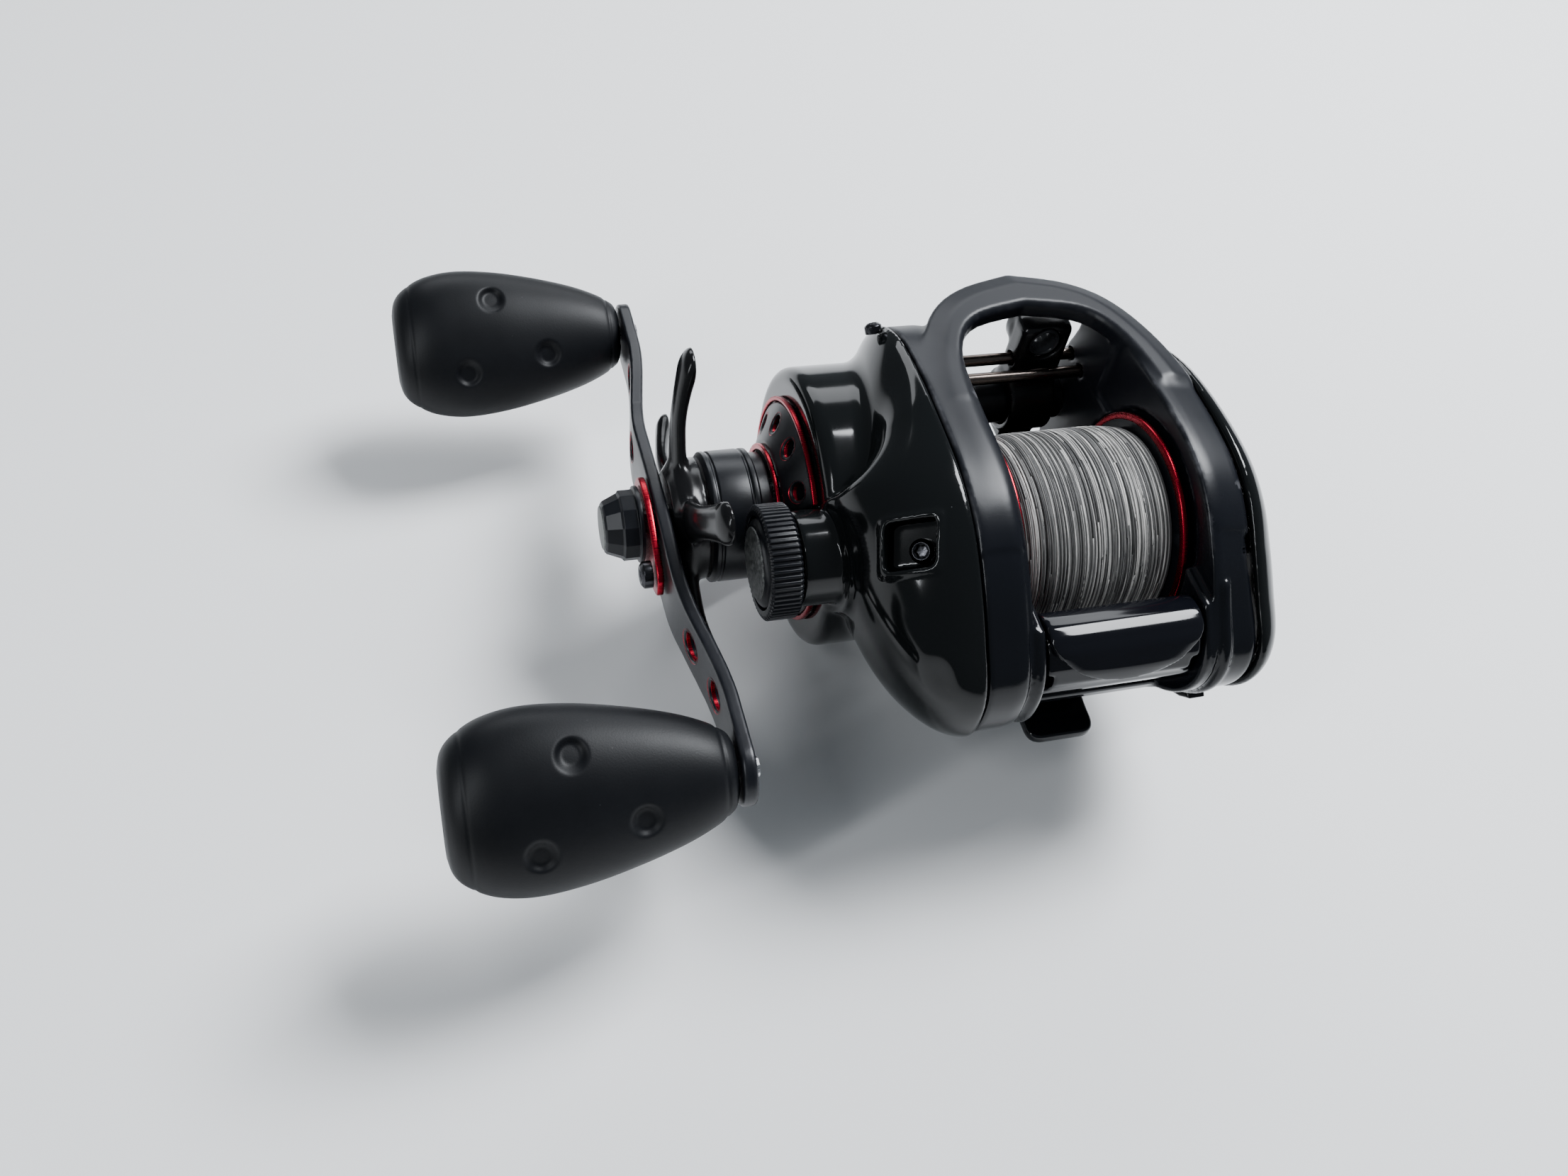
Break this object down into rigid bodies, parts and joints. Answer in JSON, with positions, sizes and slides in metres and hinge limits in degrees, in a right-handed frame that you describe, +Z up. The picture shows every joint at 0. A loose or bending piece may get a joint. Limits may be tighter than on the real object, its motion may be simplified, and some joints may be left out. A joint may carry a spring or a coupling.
{
  "type": "baitcasting reel",
  "caption": "Low-profile fishing reel with a left-hand paddle handle, star drag, cast control cap, level-wind line guide, thumb bar and foot.",
  "frame": {"origin": "centre of the reel foot's flat underside, where it sits in a rod's reel seat", "axes": "+X along the spool axis from the handle side to the palm side, +Y forward the way the line leaves, +Z up away from the rod"},
  "size_m": [0.1232, 0.1123, 0.0562],
  "materials": {
    "aluminium": "turned aluminium",
    "brass": "machined brass",
    "carbon": "woven carbon friction washers",
    "ceramic": "polished ceramic ring",
    "cover_black": "high-gloss piano black",
    "frame_black": "satin dark charcoal, lightly scuffed",
    "gloss_black": "gloss black",
    "knob_black": "soft-touch matte black",
    "line_braid": "grey braided fishing line in close turns",
    "magnet": "nickel-plated magnets",
    "red_metal": "bright red anodised aluminium",
    "rod_steel": "dark brown-grey ground rod",
    "satin_black": "satin black anodised aluminium",
    "steel": "ground steel"
  },
  "bodies": {
    "frame": {"frame": "frame_black", "gear_side_cover": "cover_black", "palm_side_cover": "cover_black", "drag_cover_ring": "satin_black", "drag_trim_outer": "red_metal", "drag_trim_inner": "red_metal", "spool_bearing_gear_side": "steel", "spool_bearing_palm_side": "steel", "drive_bearing": "brass", "guide_rod": "rod_steel", "stay_rod": "rod_steel", "worm_guard": "satin_black", "one_way_bearing": "steel", "cover_screw_rear": "steel", "cover_screw_front": "steel", "yoke_post_top": "steel", "yoke_post_bottom": "steel"},
    "spool": {"spool": "satin_black", "line_pack": "line_braid", "spool_shaft": "steel", "brake_rotor": "aluminium"},
    "handle": {"drive_shaft": "steel", "main_gear": "brass", "ratchet_wheel": "steel", "drag_washer_inner": "carbon", "drag_washer_outer": "carbon", "drag_pressure_plate": "steel", "drag_spring_washer": "steel", "one_way_sleeve": "steel", "drag_sleeve": "satin_black", "worm_drive_gear": "brass", "handle_arm": "satin_black", "handle_keeper": "red_metal", "handle_nut": "gloss_black", "nut_lock_screw": "gloss_black", "knob_spindle_front": "steel", "knob_spindle_rear": "steel"},
    "star": {"star_drag": "gloss_black"},
    "cast_control": {"cast_control_cap": "satin_black", "cast_control_grip": "satin_black"},
    "front_knob": {"knob_front": "knob_black"},
    "rear_knob": {"knob_rear": "knob_black"},
    "thumb_bar": {"thumb_bar": "gloss_black", "clutch_cam": "steel"},
    "yoke": {"clutch_yoke": "steel"},
    "pinion": {"pinion_gear": "brass"},
    "worm": {"worm_shaft": "steel", "worm_gear": "brass"},
    "line_guide": {"line_guide": "gloss_black", "guide_insert": "ceramic", "guide_pawl": "steel", "pawl_cap": "satin_black"},
    "brake_dial": {"brake_dial": "satin_black", "brake_magnets": "magnet"},
    "palm_lever": {"palm_release_lever": "gloss_black"}
  },
  "joints": [
    {"name": "handle_spin", "type": "hinge", "parent": "frame", "child": "handle", "pos_m": [-0.05, 0.00973, 0.0147], "axis": [1, 0, 0], "continuous": true},
    {"name": "star_turn", "type": "hinge", "parent": "handle", "child": "star", "pos_m": [-0.052, 0.00973, 0.0147], "axis": [1, 0, 0], "range_deg": [-180, 360]},
    {"name": "front_knob_spin", "type": "hinge", "parent": "handle", "child": "front_knob", "pos_m": [-0.074, 0.05541, 0.01142], "axis": [1, 0, 0], "continuous": true},
    {"name": "rear_knob_spin", "type": "hinge", "parent": "handle", "child": "rear_knob", "pos_m": [-0.074, -0.03595, 0.01798], "axis": [1, 0, 0], "continuous": true},
    {"name": "spool_spin", "type": "hinge", "parent": "frame", "child": "spool", "pos_m": [0, -0.007, 0.0237], "axis": [1, 0, 0], "continuous": true},
    {"name": "yoke_slide", "type": "slide", "parent": "frame", "child": "yoke", "axis": [-1, 0, 0], "range_m": [0, 0.0014]},
    {"name": "pinion_spin", "type": "hinge", "parent": "yoke", "child": "pinion", "pos_m": [-0.026, -0.007, 0.0237], "axis": [1, 0, 0], "continuous": true},
    {"name": "worm_spin", "type": "hinge", "parent": "frame", "child": "worm", "pos_m": [0, 0.0225, 0.0217], "axis": [1, 0, 0], "continuous": true},
    {"name": "line_guide_slide", "type": "slide", "parent": "frame", "child": "line_guide", "axis": [1, 0, 0], "range_m": [-0.0136, 0.0016]},
    {"name": "thumb_press", "type": "slide", "parent": "frame", "child": "thumb_bar", "axis": [0, 0, -1], "range_m": [0, 0.004], "stiffness_N_per_m": 400},
    {"name": "cast_control_turn", "type": "hinge", "parent": "frame", "child": "cast_control", "pos_m": [-0.043, -0.007, 0.0237], "axis": [1, 0, 0], "range_deg": [-360, 360]},
    {"name": "brake_dial_turn", "type": "hinge", "parent": "frame", "child": "brake_dial", "pos_m": [0, -0.007, 0.0237], "axis": [1, 0, 0], "range_deg": [0, 270]},
    {"name": "palm_lever_swing", "type": "hinge", "parent": "frame", "child": "palm_lever", "pos_m": [0.018, -0.0196, 0.0029], "axis": [1, 0, 0], "range_deg": [0, 50]}
  ],
  "couplings": [
    {"joint": "spool_spin", "follows": "handle_spin", "ratio": -6.3636},
    {"joint": "pinion_spin", "follows": "handle_spin", "ratio": -6.3636},
    {"joint": "worm_spin", "follows": "handle_spin", "ratio": -2.0769},
    {"joint": "yoke_slide", "follows": "thumb_press", "ratio": 0.35}
  ]
}
